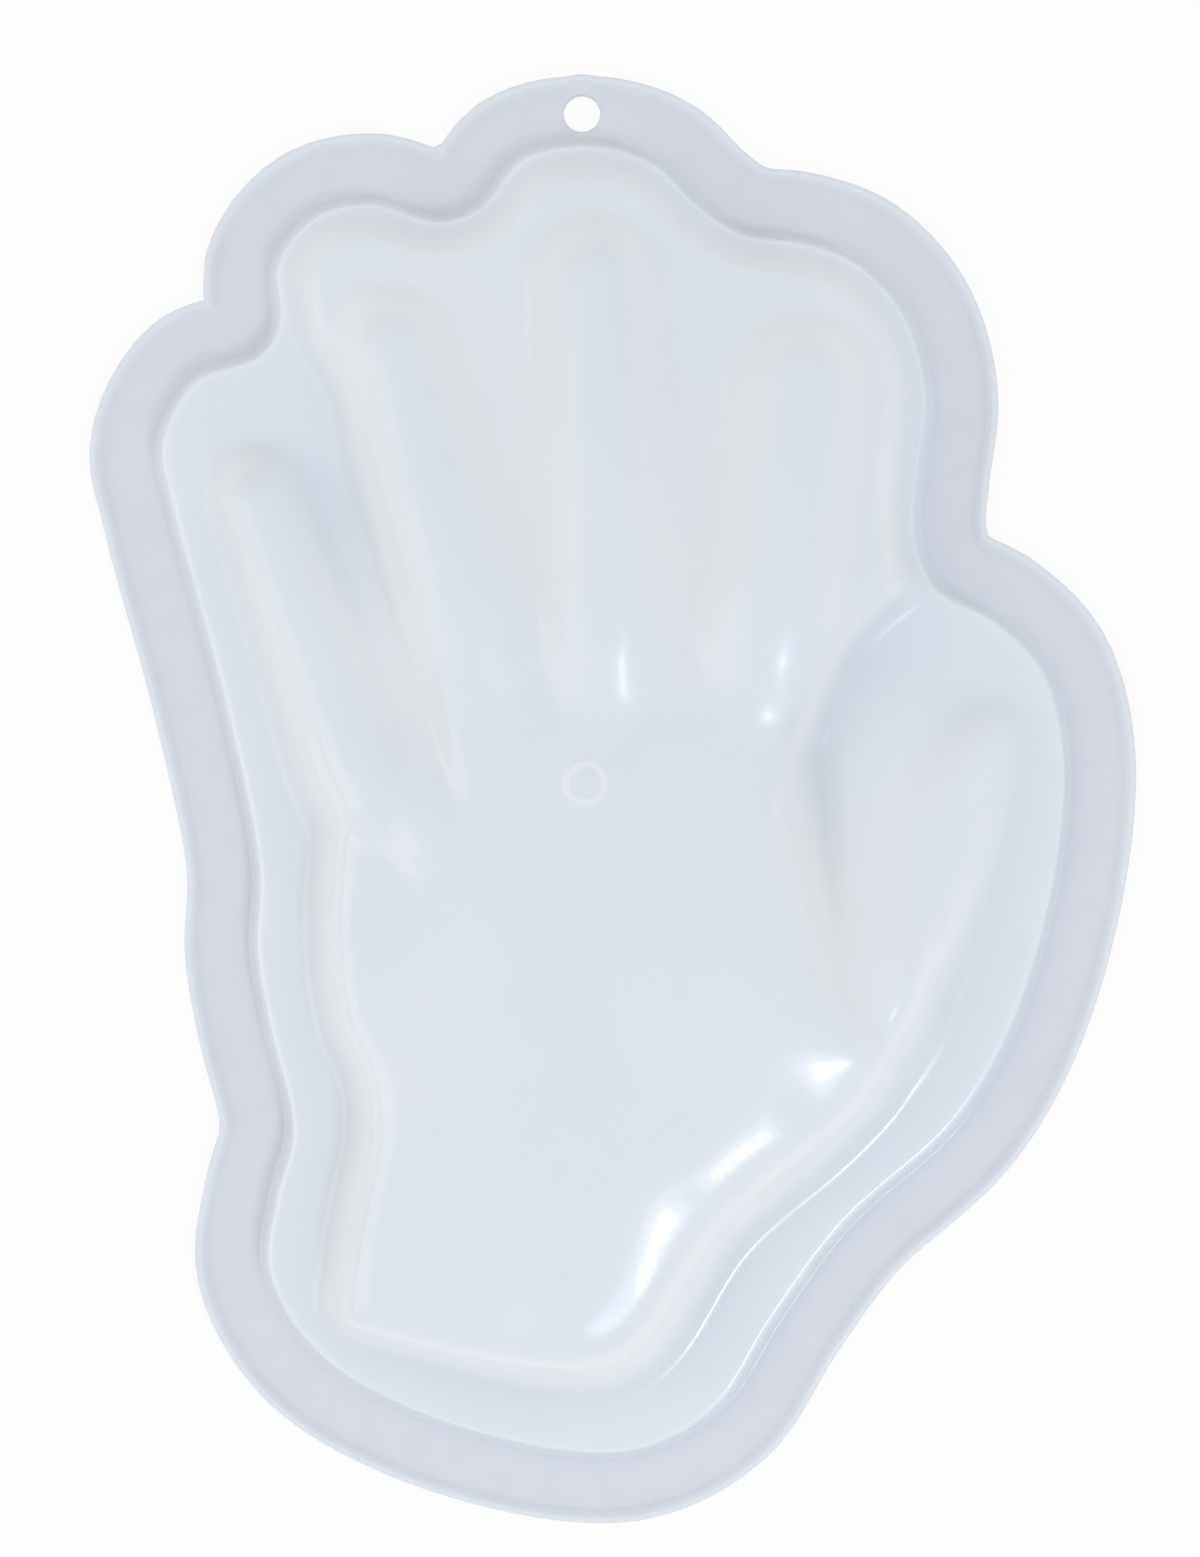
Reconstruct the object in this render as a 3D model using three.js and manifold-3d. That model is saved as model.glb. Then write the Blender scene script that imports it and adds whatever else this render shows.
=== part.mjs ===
// Jelly mould in the shape of an open hand: one thin shell of milky plastic, hollow from below.
// A flat flange with a raised lip carries a low scalloped tray, and the back of the hand rises from
// the tray's ledge. Millimetres, +Z up, +Y towards the fingertips, +X towards the thumb. The flange's
// underside is z = 0.

import * as THREE from 'three';
import { mergeVertices } from 'three/addons/utils/BufferGeometryUtils.js';
import Module from 'manifold-3d';

// Plastic and flange
const WALL = 1.6;
const FLANGE_THICKNESS = 1.8;
const FLANGE_WIDTH = 11.2;
const LIP_WIDTH = 2.4;
const LIP_HEIGHT = 1.1;
const LIP_ROUNDING = 0.6;
const LIP_TOP = FLANGE_THICKNESS + LIP_HEIGHT;

// Hang hole above the middle finger, in a small round tab of the flange
const HANG_HOLE_DIAMETER = 6.2;
const HANG_HOLE_X = -4.9;
const HANG_HOLE_FROM_WALL = 5;
const HANG_TAB_RADIUS = 6.5;

// Tray: a low drafted wall, and the ledge that runs round inside it, flat for a little way everywhere
const LEDGE_HEIGHT = 7;
const LEDGE_FLAT = 1;
const WALL_DRAFT = 1.6;
const TRAY_FOOT = [
  [-3.5, 110], [7.5, 107], [15.5, 99.6], [22.5, 95], [32, 93.8], [41.5, 90.3], [50, 81.2], [54, 67.5],
  [52.6, 54], [52, 44.5], [55, 35.8], [64.5, 30.6], [73, 22.2], [77, 8], [75.4, -14], [68, -39.5],
  [58.5, -55.5], [40, -72.5], [28.5, -88], [18.8, -103], [6.5, -110.2], [-7, -111], [-33, -104.2],
  [-50.5, -93.6], [-58.6, -79.5], [-57.2, -66.5], [-54.6, -56], [-58.5, -38.5], [-60.6, -26],
  [-60.2, -12.5], [-66, 16], [-74.5, 47.5], [-76.5, 59], [-70.2, 70.6], [-59.5, 74.7], [-56.8, 79],
  [-57.2, 89], [-50, 98], [-40, 100.3], [-28.5, 97.3], [-22.8, 99.2], [-15.5, 107.6],
];

// Web: the raised ground that carries the ring, middle and index fingers. It drops to the ledge along
// the tray wall, beside the little finger and above the thumb. It rises from the tips to the knuckles,
// and ends under the palm
const WEB_AREA = [
  [-64, 92], [-57, 79], [-51, 71.5], [-47.5, 65], [-45.5, 56], [-41.5, 43], [-36.5, 26], [-32, 10],
  [-28, -8], [-20, -45], [20, -45], [30, -8], [35.5, 11], [40, 21.5], [47, 30], [61, 40], [72, 80],
  [40, 125], [-20, 130], [-66, 112],
];
const WEB_TIP_HEIGHT = 13.5;
const WEB_ROOT_HEIGHT = 20.5;
const WEB_TIP_Y = 85;
const WEB_ROOT_Y = 10;
const WEB_END_Y = -40;
const WEB_FRONT_SLOPE = 5.2;
const WEB_EDGE_ROUNDING = 0.1;
const WEB_SIDE_SLOPE = 6;

// Digits: ridges from tip to root, with half widths, and heights above the flange's underside
const RING_FINGER = {
  tip: [-36.2, 74.5], root: [-24, 32], tipWidth: 11, rootWidth: 14, tipHeight: 21, rootHeight: 26,
};
const MIDDLE_FINGER = {
  tip: [-2.8, 85.5], root: [-1, 32], tipWidth: 12.2, rootWidth: 15.2, tipHeight: 22, rootHeight: 27,
};
const INDEX_FINGER = {
  tip: [31.5, 68], root: [26.5, 32], tipWidth: 13.4, rootWidth: 15.2, tipHeight: 21.5, rootHeight: 26.5,
};
const LITTLE_FINGER = {
  tip: [-58.9, 50], root: [-42, 6], tipWidth: 9.8, rootWidth: 14, tipHeight: 14.5, rootHeight: 20.5,
};

// Gaps beside the little finger and the thumb: their floors climb from the ledge to the palm
const LITTLE_GAP = {
  tip: [-45, 52], root: [-31, -2], tipWidth: 11, rootWidth: 13, tipHeight: LEDGE_HEIGHT, rootHeight: 18.5,
};
const THUMB_GAP = {
  tip: [47, 24], root: [44, -28], tipWidth: 14, rootWidth: 15, tipHeight: LEDGE_HEIGHT, rootHeight: 18.5,
};

// Cross-section of a digit: a flat back and sides that run out softly. At its root a digit runs out slowly
const SECTION_SQUARENESS = 3;
const SECTION_FOOT = 3;
const ROOT_STRETCH = 1.8;

// Thumb: a leaf whose back sinks towards its tip
const THUMB_FOOT = [
  [65, 18], [70.5, 11.5], [68.5, -3.5], [65, -15.8], [60, -29.7], [53, -43], [44, -50], [36, -42], [39, -27],
  [42, -15], [42.5, -6.5], [45, 2], [50.5, 10], [58, 16.5],
];
const THUMB_FLANK = { slope: 1.4, band: 5.5, shoulder: 5.5, width: 12 };
const THUMB_TIP_SHARE = 0.7;
const THUMB_TIP_Y = 10;
const THUMB_ROOT_Y = -40;

// Palm: the back of the hand, a steep band round its foot, a shoulder that levels out, and a dome on
// top that falls away at the knuckles. The band is steepest on the little finger's side, and the shoulder
// is highest and widest on the thumb's side
const PALM_FOOT = [
  [-48, 8], [-51, -14], [-51, -28], [-49, -40], [-45.3, -48.6], [-44.8, -58], [-47, -66], [-48.4, -75.6],
  [-49.5, -87], [-46, -91.8], [-36.5, -95], [-23, -98.8], [-11.7, -101], [0, -101], [7.4, -98], [12.8, -92.3],
  [23.3, -75.6], [40, -61.3], [48.8, -51.6], [52, -43], [50, -37], [44.3, -29.7], [39.7, -15.8], [36, 0],
  [34.6, 10.4], [36, 40], [0, 48], [-30, 40], [-39, 18],
];
const PALM_LITTLE_SIDE = { x: -45, slope: 3, band: 8, shoulder: 1.5 };
const PALM_THUMB_SIDE = { x: 5, slope: 1.6, band: 7, shoulder: 7 };
const PALM_WRIST_SHOULDER = { x: -40, y: -100, width: 13 };
const PALM_THUMB_SHOULDER = { x: 15, y: -70, width: 26 };
const PALM_DOME_SHARE = 0.36;
const PALM_DOME_CENTRE = [-8, -40];
const PALM_DOME_HALF_WIDTH = 58;
const PALM_DOME_HALF_LENGTH = 80;
const KNUCKLE_CENTRE = [10, 13];
const KNUCKLE_ARC_RADIUS = 125;
const KNUCKLE_REACH = 16;
const KNUCKLE_FALL = 0.5;

// How softly the forms of the hand start from the ledge, turn at their rims and run into each other
const FOOT_EASE = 2;
const RIM_BLEND = 2;
const DIGIT_BLEND = 5;
const PALM_BLEND = 10;
const THUMB_BLEND = 14;

// Mesh: spokes from the palm to the tray wall, with rings that first follow the wall, over the slope of the
// web and the feet of the palm and thumb, and then close in
const HAND_CENTRE = [-4, -10];
const SPOKES = 148;
const WALL_RING_INSETS = [0, WEB_FRONT_SLOPE, 6.8, 8.2, 9.8, 12, 15];
const PALM_RINGS = 11;
const LEVEL_WEIGHT = 4;
const OUTLINE_POINTS = 240;
const HOLE_SIDES = 32;

// The hollow keeps a ball as thick as the wall clear of the outside, tried at these tilts all round
const BALL_TILTS = [Math.PI / 5, 2 * Math.PI / 5];
const BALL_DIRECTIONS = 8;

const { clamp, lerp, smoothstep } = THREE.MathUtils;

// A closed outline through its knots, as evenly spaced points
function outlineThrough(knots, count) {
  const points = knots.map(([x, y]) => new THREE.Vector3(x, y, 0));
  const curve = new THREE.CatmullRomCurve3(points, true, 'centripetal');
  return curve.getSpacedPoints(count).slice(0, count);
}

// Distance of a point from the stretch between two points
function distanceFrom(a, b, x, y) {
  const dx = b.x - a.x;
  const dy = b.y - a.y;
  const share = clamp(((x - a.x) * dx + (y - a.y) * dy) / (dx * dx + dy * dy), 0, 1);
  return Math.hypot(x - a.x - share * dx, y - a.y - share * dy);
}

// Distance from a closed outline, positive inside it and negative outside
function depthInside(outline, x, y) {
  let least = Infinity;
  let inside = false;
  let last = outline[outline.length - 1];
  for (const point of outline) {
    least = Math.min(least, distanceFrom(last, point, x, y));
    const crosses = (last.y > y) !== (point.y > y);
    if (crosses && x < last.x + (y - last.y) * (point.x - last.x) / (point.y - last.y)) {
      inside = !inside;
    }
    last = point;
  }
  return inside ? least : -least;
}

// The larger of two heights, with the crease between them filled, but not where one is the ledge
function blendUp(first, second, blend) {
  const reach = clamp(Math.min(first, second) - LEDGE_HEIGHT, 1e-6, blend);
  const closeness = Math.max(reach - Math.abs(first - second), 0) / reach;
  return Math.max(first, second) + closeness * closeness * reach / 4;
}

// A digit at a point: how tall it is along its ridge, and its cross-section there, from 1 to 0
function digitAt({ tip, root, tipWidth, rootWidth, tipHeight, rootHeight }, x, y) {
  const length = Math.hypot(root[0] - tip[0], root[1] - tip[1]);
  const wayX = (root[0] - tip[0]) / length;
  const wayY = (root[1] - tip[1]) / length;
  const along = (x - tip[0]) * wayX + (y - tip[1]) * wayY;
  const aside = (x - tip[0]) * wayY - (y - tip[1]) * wayX;
  const pastEnd = Math.max(-along, (along - length) / ROOT_STRETCH, 0);
  const share = clamp(along / length, 0, 1);
  const across = Math.min(Math.hypot(aside, pastEnd) / lerp(tipWidth, rootWidth, share), 1);
  return {
    top: lerp(tipHeight, rootHeight, share),
    section: (1 - across ** SECTION_SQUARENESS) ** SECTION_FOOT,
  };
}

// Rise of a mound inside its foot: a steep band, then a rounded shoulder that levels out
function moundRise(foot, x, y, { slope, band, shoulder, width }) {
  const depth = Math.max(depthInside(foot, x, y), 0);
  const eased = depth < FOOT_EASE ? depth * depth / (2 * FOOT_EASE) : depth - FOOT_EASE / 2;
  const steep = slope * eased;
  const levelling = band + shoulder * (1 - (1 - Math.min(depth / width, 1)) ** 3);
  const closeness = Math.max(RIM_BLEND - Math.abs(steep - levelling), 0) / RIM_BLEND;
  return Math.min(steep, levelling) - closeness * closeness * RIM_BLEND / 4;
}

const trayFoot = outlineThrough(TRAY_FOOT, OUTLINE_POINTS);
const webArea = outlineThrough(WEB_AREA, OUTLINE_POINTS);
const thumbFoot = outlineThrough(THUMB_FOOT, OUTLINE_POINTS);
const palmFoot = outlineThrough(PALM_FOOT, OUTLINE_POINTS);

// The web and the three fingers that stand on it
function fingersHeight(x, y) {
  const web = lerp(WEB_ROOT_HEIGHT, WEB_TIP_HEIGHT, smoothstep(y, WEB_ROOT_Y, WEB_TIP_Y));
  const share = smoothstep(depthInside(webArea, x, y), 0, WEB_SIDE_SLOPE) * smoothstep(y, WEB_END_Y, WEB_ROOT_Y);
  let height = lerp(LEDGE_HEIGHT, web, share);
  for (const finger of [RING_FINGER, MIDDLE_FINGER, INDEX_FINGER]) {
    const { top, section } = digitAt(finger, x, y);
    height = Math.max(height, lerp(height, top, section));
  }
  return height;
}

// A digit that stands on the ledge, or the floor of the gap beside one
function ledgeDigitHeight(digit, x, y) {
  const { top, section } = digitAt(digit, x, y);
  return lerp(LEDGE_HEIGHT, top, section);
}

function thumbHeight(x, y) {
  const share = lerp(1, THUMB_TIP_SHARE, smoothstep(y, THUMB_ROOT_Y, THUMB_TIP_Y));
  return LEDGE_HEIGHT + share * moundRise(thumbFoot, x, y, THUMB_FLANK);
}

function palmHeight(x, y) {
  const towardsThumb = smoothstep(x, PALM_LITTLE_SIDE.x, PALM_THUMB_SIDE.x);
  const offWrist = smoothstep(x, PALM_WRIST_SHOULDER.x, PALM_THUMB_SHOULDER.x)
    * smoothstep(y, PALM_WRIST_SHOULDER.y, PALM_THUMB_SHOULDER.y);
  const flank = {
    slope: lerp(PALM_LITTLE_SIDE.slope, PALM_THUMB_SIDE.slope, towardsThumb),
    band: lerp(PALM_LITTLE_SIDE.band, PALM_THUMB_SIDE.band, towardsThumb),
    shoulder: lerp(PALM_LITTLE_SIDE.shoulder, PALM_THUMB_SIDE.shoulder, towardsThumb),
    width: lerp(PALM_WRIST_SHOULDER.width, PALM_THUMB_SHOULDER.width, offWrist),
  };
  const acrossDome = (x - PALM_DOME_CENTRE[0]) / PALM_DOME_HALF_WIDTH;
  const alongDome = (y - PALM_DOME_CENTRE[1]) / PALM_DOME_HALF_LENGTH;
  const dome = Math.max(1 - acrossDome * acrossDome - alongDome * alongDome, 0);
  const domed = 1 + PALM_DOME_SHARE * dome;
  const knuckleY = KNUCKLE_CENTRE[1] - (x - KNUCKLE_CENTRE[0]) ** 2 / (2 * KNUCKLE_ARC_RADIUS);
  const fall = KNUCKLE_FALL * smoothstep(y - knuckleY, -KNUCKLE_REACH, KNUCKLE_REACH);
  return LEDGE_HEIGHT + moundRise(palmFoot, x, y, flank) * domed * (1 - fall);
}

// The slope of the web's front: from 0 at the tray wall to 1 on top, with a rounded edge
function frontShare(x, y) {
  const share = Math.max(depthInside(trayFoot, x, y) - WALL_DRAFT - LEDGE_FLAT, 0) / WEB_FRONT_SLOPE;
  if (share < 1 - WEB_EDGE_ROUNDING) {
    return share;
  }
  const below = clamp((1 + WEB_EDGE_ROUNDING - share) / (2 * WEB_EDGE_ROUNDING), 0, 1);
  return 1 - WEB_EDGE_ROUNDING * below * below;
}

// Outside of the hand above a point of the tray, down on the ledge along the tray wall
function handHeight(x, y) {
  let height = fingersHeight(x, y);
  for (const digit of [LITTLE_GAP, LITTLE_FINGER, THUMB_GAP]) {
    height = blendUp(height, ledgeDigitHeight(digit, x, y), DIGIT_BLEND);
  }
  height = blendUp(height, palmHeight(x, y), PALM_BLEND);
  height = blendUp(height, thumbHeight(x, y), THUMB_BLEND);
  return lerp(LEDGE_HEIGHT, height, frontShare(x, y));
}

// Inside of the hand: as high as a ball of the wall's thickness lets it be anywhere under the outside
function hollowHeight(x, y) {
  let height = handHeight(x, y) - WALL;
  for (const tilt of BALL_TILTS) {
    const sideways = WALL * Math.sin(tilt);
    const upwards = WALL * Math.cos(tilt);
    for (let turn = 0; turn < BALL_DIRECTIONS; turn += 1) {
      const angle = 2 * Math.PI * turn / BALL_DIRECTIONS;
      const outside = handHeight(x + sideways * Math.cos(angle), y + sideways * Math.sin(angle));
      height = Math.min(height, outside - upwards);
    }
  }
  return height;
}

// Spokes run from the middle of the palm through evenly spaced points of the tray wall's foot
const centre = new THREE.Vector3(...HAND_CENTRE, 0);
const spokes = outlineThrough(TRAY_FOOT, SPOKES).map((foot) => ({
  direction: foot.clone().sub(centre).normalize(),
  length: foot.distanceTo(centre),
}));

function pointOn(spoke, distance, height) {
  return spoke.direction.clone().multiplyScalar(distance).add(centre).setZ(height);
}

// How far out along a spoke a field that falls outwards reaches zero
function reach(spoke, field) {
  const halvings = 40;
  let near = 0;
  let far = 2 * spoke.length;
  for (let halving = 0; halving < halvings; halving += 1) {
    const middle = (near + far) / 2;
    const { x, y } = pointOn(spoke, middle, 0);
    if (field(x, y) > 0) {
      near = middle;
    } else {
      far = middle;
    }
  }
  return near;
}

// A ring of points round the mould, a given distance inside the foot of the tray wall
function trayRing(inset, height) {
  return spokes.map((spoke) => {
    const distance = reach(spoke, (x, y) => depthInside(trayFoot, x, y) - inset);
    return pointOn(spoke, distance, height);
  });
}

// The hang hole sits beside the wall where the middle finger's scallop is nearest
const hangHole = new THREE.Vector3(HANG_HOLE_X, 0, 0);
const wallAbove = trayFoot.filter((point) => point.y > 0);
wallAbove.sort((a, b) => Math.abs(a.x - HANG_HOLE_X) - Math.abs(b.x - HANG_HOLE_X));
hangHole.y = wallAbove[0].y + HANG_HOLE_FROM_WALL;

// A ring round the flange, a given distance inside its edge
function flangeRing(inset, height) {
  return spokes.map((spoke) => {
    const distance = reach(spoke, (x, y) => Math.max(
      FLANGE_WIDTH - inset + depthInside(trayFoot, x, y),
      HANG_TAB_RADIUS - inset - Math.hypot(x - hangHole.x, y - hangHole.y),
    ));
    return pointOn(spoke, distance, height);
  });
}

// Rings of the hand from an edge inwards: some alongside the tray wall, and the rest at even shares of
// what is left of each spoke
function handRings(edgeInset, heightAt) {
  const rings = WALL_RING_INSETS.map((inset) => trayRing(edgeInset + LEDGE_FLAT + inset, 0));
  const innermost = rings[rings.length - 1];
  for (let ring = 1; ring < PALM_RINGS; ring += 1) {
    rings.push(innermost.map((start) => start.clone().lerp(centre, ring / PALM_RINGS)));
  }
  return rings.map((ring) => ring.map((point) => point.setZ(heightAt(point.x, point.y))));
}

// Two triangles for a four-cornered patch, split along its more level diagonal, or else the shorter one
function splitAcross([a, b, c, d], points) {
  const steepness = (from, to) => from.distanceTo(to) + LEVEL_WEIGHT * Math.abs(from.z - to.z);
  const first = steepness(points[a], points[c]) < steepness(points[b], points[d]);
  return first ? [a, b, c, a, c, d] : [a, b, d, b, c, d];
}

// A closed skin from a first point, through rings that run clockwise from above, to a last point
function skin(first, rings, last) {
  const count = rings[0].length;
  const points = [first, ...rings.flat(), last];
  const triangles = [];
  for (let i = 0; i < count; i += 1) {
    const next = (i + 1) % count;
    triangles.push(0, 1 + next, 1 + i);
    for (let ring = 0; ring + 1 < rings.length; ring += 1) {
      const inner = 1 + ring * count;
      const outer = inner + count;
      const corners = [inner + i, inner + next, outer + next, outer + i];
      triangles.push(...splitAcross(corners, points));
    }
    const lastRing = points.length - 1 - count;
    triangles.push(points.length - 1, lastRing + i, lastRing + next);
  }
  const geometry = new THREE.BufferGeometry().setFromPoints(points);
  geometry.setIndex(triangles);
  return geometry;
}

function mouldSkin() {
  const hollowInset = WALL_DRAFT + WALL;
  const rings = [
    ...handRings(WALL_DRAFT, handHeight).reverse(),
    trayRing(WALL_DRAFT, LEDGE_HEIGHT),
    trayRing(0, FLANGE_THICKNESS),
    flangeRing(LIP_WIDTH, FLANGE_THICKNESS),
    flangeRing(LIP_WIDTH - LIP_ROUNDING, LIP_TOP),
    flangeRing(LIP_ROUNDING, LIP_TOP),
    flangeRing(0, LIP_TOP - LIP_ROUNDING),
    flangeRing(0, 0),
    trayRing(WALL, 0),
    trayRing(hollowInset, LEDGE_HEIGHT - WALL),
    ...handRings(hollowInset, hollowHeight),
  ];
  const top = centre.clone().setZ(handHeight(...HAND_CENTRE));
  const underTop = centre.clone().setZ(hollowHeight(...HAND_CENTRE));
  return skin(top, rings, underTop);
}

// The hang hole as a solid that runs past both faces of the flange
function hangHoleCutter() {
  const radius = HANG_HOLE_DIAMETER / 2;
  const geometry = new THREE.CylinderGeometry(radius, radius, 3 * LIP_TOP, HOLE_SIDES);
  geometry.rotateX(Math.PI / 2);
  geometry.translate(hangHole.x, hangHole.y, LIP_TOP / 2);
  return geometry;
}

const wasm = await Module();
wasm.setup();

function toSolid(geometry) {
  geometry.deleteAttribute('normal');
  geometry.deleteAttribute('uv');
  const merged = mergeVertices(geometry);
  const vertProperties = new Float32Array(merged.attributes.position.array);
  const triVerts = new Uint32Array(merged.index.array);
  return new wasm.Manifold(new wasm.Mesh({ numProp: 3, vertProperties, triVerts }));
}

function toGeometry(solid) {
  const { vertProperties, triVerts } = solid.getMesh();
  const geometry = new THREE.BufferGeometry();
  geometry.setAttribute('position', new THREE.BufferAttribute(vertProperties, 3));
  geometry.setIndex(new THREE.BufferAttribute(triVerts, 1));
  geometry.computeVertexNormals();
  return geometry;
}

// The moulding, with the middle of its flange over the origin
function mould() {
  const milkyPlastic = new THREE.MeshStandardMaterial({ color: 0xdfe5ec, roughness: 0.3, metalness: 0 });
  const shell = toSolid(mouldSkin()).subtract(toSolid(hangHoleCutter()));
  const mesh = new THREE.Mesh(toGeometry(shell), milkyPlastic);
  mesh.name = 'hand_mould';
  const middle = new THREE.Box3().setFromObject(mesh).getCenter(new THREE.Vector3());
  mesh.position.set(-middle.x, -middle.y, 0);
  return mesh;
}

const jellyMould = new THREE.Group();
jellyMould.add(mould());

export default jellyMould;
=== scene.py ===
import math

import bmesh
import bpy
import numpy as np
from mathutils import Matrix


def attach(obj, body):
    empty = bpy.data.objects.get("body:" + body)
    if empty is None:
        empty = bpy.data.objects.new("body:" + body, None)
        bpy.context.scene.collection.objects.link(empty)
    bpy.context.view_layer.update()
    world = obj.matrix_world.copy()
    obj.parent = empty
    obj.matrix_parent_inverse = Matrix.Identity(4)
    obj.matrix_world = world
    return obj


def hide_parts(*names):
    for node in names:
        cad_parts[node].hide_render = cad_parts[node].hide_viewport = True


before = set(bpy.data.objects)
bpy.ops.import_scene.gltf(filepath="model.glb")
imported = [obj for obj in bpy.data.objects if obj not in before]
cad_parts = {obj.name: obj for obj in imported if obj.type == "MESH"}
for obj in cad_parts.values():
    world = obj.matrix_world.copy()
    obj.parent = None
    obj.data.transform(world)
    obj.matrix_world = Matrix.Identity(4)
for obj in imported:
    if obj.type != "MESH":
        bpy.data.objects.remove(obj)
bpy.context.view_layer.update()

# Tray and flange
# The outer part of the moulding, filled in one shot of polypropylene with the hand: a flat flange with a
# raised lip that stiffens its edge, and a low drafted wall that follows the fingers in scallops.
MM = 0.001
WALL = 1.6
FLANGE_THICKNESS = 1.8
FLANGE_WIDTH = 11.2
LIP_WIDTH = 2.4
LIP_HEIGHT = 1.1
LEDGE_HEIGHT = 7
WALL_DRAFT = 1.6
LEDGE_FLAT = 1
HANG_HOLE_DIAMETER = 6.2
HANG_HOLE_X = -4.9
HANG_HOLE_FROM_WALL = 5
HANG_TAB_RADIUS = 6.5
POINTS_PER_KNOT = 40
OUTLINE_POINTS = 240
SPOKES = 480
HALVINGS = 24
ARC_STEPS = 4
GATE = (-4.1, 2.3)
TRAY_FOOT = [
    (-3.5, 110), (7.5, 107), (15.5, 99.6), (22.5, 95), (32, 93.8), (41.5, 90.3), (50, 81.2), (54, 67.5),
    (52.6, 54), (52, 44.5), (55, 35.8), (64.5, 30.6), (73, 22.2), (77, 8), (75.4, -14), (68, -39.5),
    (58.5, -55.5), (40, -72.5), (28.5, -88), (18.8, -103), (6.5, -110.2), (-7, -111), (-33, -104.2),
    (-50.5, -93.6), (-58.6, -79.5), (-57.2, -66.5), (-54.6, -56), (-58.5, -38.5), (-60.6, -26),
    (-60.2, -12.5), (-66, 16), (-74.5, 47.5), (-76.5, 59), (-70.2, 70.6), (-59.5, 74.7), (-56.8, 79),
    (-57.2, 89), (-50, 98), (-40, 100.3), (-28.5, 97.3), (-22.8, 99.2), (-15.5, 107.6),
]


def outline_through(knots, count):
    """A smooth closed outline through its knots (centripetal Catmull-Rom), as evenly spaced points."""
    start = np.array(knots, float)
    before, end, after = (np.roll(start, turn, axis=0) for turn in (1, -1, -2))
    gap_before, gap, gap_after = (
        np.sqrt(np.linalg.norm(b - a, axis=1, keepdims=True))
        for a, b in ((before, start), (start, end), (end, after))
    )
    leaving = (start - before) / gap_before - (end - before) / (gap_before + gap) + (end - start) / gap
    arriving = (end - start) / gap - (after - start) / (gap + gap_after) + (after - end) / gap_after
    t = np.linspace(0, 1, POINTS_PER_KNOT, endpoint=False)[None, :, None]
    curve = (
        (2 * t**3 - 3 * t**2 + 1) * start[:, None] + (t**3 - 2 * t**2 + t) * (leaving * gap)[:, None]
        + (3 * t**2 - 2 * t**3) * end[:, None] + (t**3 - t**2) * (arriving * gap)[:, None]
    ).reshape(-1, 2)
    closed = np.vstack([curve, curve[:1]])
    along = np.concatenate([[0], np.cumsum(np.linalg.norm(np.diff(closed, axis=0), axis=1))])
    stops = np.linspace(0, along[-1], count, endpoint=False)
    return np.column_stack([np.interp(stops, along, closed[:, axis]) for axis in (0, 1)])


def distance_from(a, b, x, y):
    """Distance of points from the straight stretch between a and b."""
    dx, dy = b[0] - a[0], b[1] - a[1]
    share = np.clip(((x - a[0]) * dx + (y - a[1]) * dy) / (dx * dx + dy * dy), 0, 1)
    return np.hypot(x - a[0] - share * dx, y - a[1] - share * dy)


def depth_inside(outline, x, y):
    """Distance of points from a closed outline, positive inside it and negative outside."""
    least = np.full(x.shape, np.inf)
    inside = np.zeros(x.shape, bool)
    for a, b in zip(np.roll(outline, 1, axis=0), outline):
        least = np.minimum(least, distance_from(a, b, x, y))
        crosses = (a[1] > y) != (b[1] > y)
        rise = b[1] - a[1] if b[1] != a[1] else 1
        inside ^= crosses & (x < a[0] + (y - a[1]) * (b[0] - a[0]) / rise)
    return np.where(inside, least, -least)


tray_foot = outline_through(TRAY_FOOT, OUTLINE_POINTS)
spoke_feet = outline_through(TRAY_FOOT, SPOKES) - GATE
spoke_lengths = np.linalg.norm(spoke_feet, axis=1)
spoke_ways = spoke_feet / spoke_lengths[:, None]
above = tray_foot[tray_foot[:, 1] > 0]
hang_hole = (HANG_HOLE_X, above[np.argmin(abs(above[:, 0] - HANG_HOLE_X)), 1] + HANG_HOLE_FROM_WALL)


def on_spokes(distances):
    """Points at distances along the spokes, which run from the gate mark through the tray wall's foot."""
    return GATE + spoke_ways * np.asarray(distances)[..., None]


def tray_rings(insets):
    """Rings a distance inside the tray wall's foot, or outside it where an inset is negative."""
    insets = np.asarray(insets)[:, None]
    near = np.zeros((len(insets), SPOKES))
    far = np.broadcast_to(2 * spoke_lengths, near.shape)
    for _ in range(HALVINGS):
        middle = (near + far) / 2
        x, y = np.moveaxis(on_spokes(middle), -1, 0)
        tab = HANG_TAB_RADIUS - FLANGE_WIDTH - insets - np.hypot(x - hang_hole[0], y - hang_hole[1])
        inside = np.maximum(depth_inside(tray_foot, x, y) - insets, tab) > 0
        near, far = np.where(inside, middle, near), np.where(inside, far, middle)
    return on_spokes(near)


def rounded(corners):
    """A profile with its corners turned to arcs: (inset, height, radius) in, (inset, height) points out."""
    points = [corners[0][:2]]
    for before, corner, after in zip(corners, corners[1:], corners[2:]):
        tip, radius = np.array(corner[:2]), corner[2]
        back, on = np.array(before[:2]) - tip, np.array(after[:2]) - tip
        back, on = back / np.linalg.norm(back), on / np.linalg.norm(on)
        half = math.acos(np.clip(back @ on, -1, 1)) / 2
        turn = math.pi - 2 * half
        centre = tip + (back + on) / np.linalg.norm(back + on) * radius / math.sin(half)
        first, last = (tip + way * radius / math.tan(half) - centre for way in (back, on))
        for share in np.linspace(0, 1, ARC_STEPS + 1):
            arm = (math.sin((1 - share) * turn) * first + math.sin(share * turn) * last) / math.sin(turn)
            points.append(tuple(centre + arm))
    points.append(corners[-1][:2])
    return points


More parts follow.
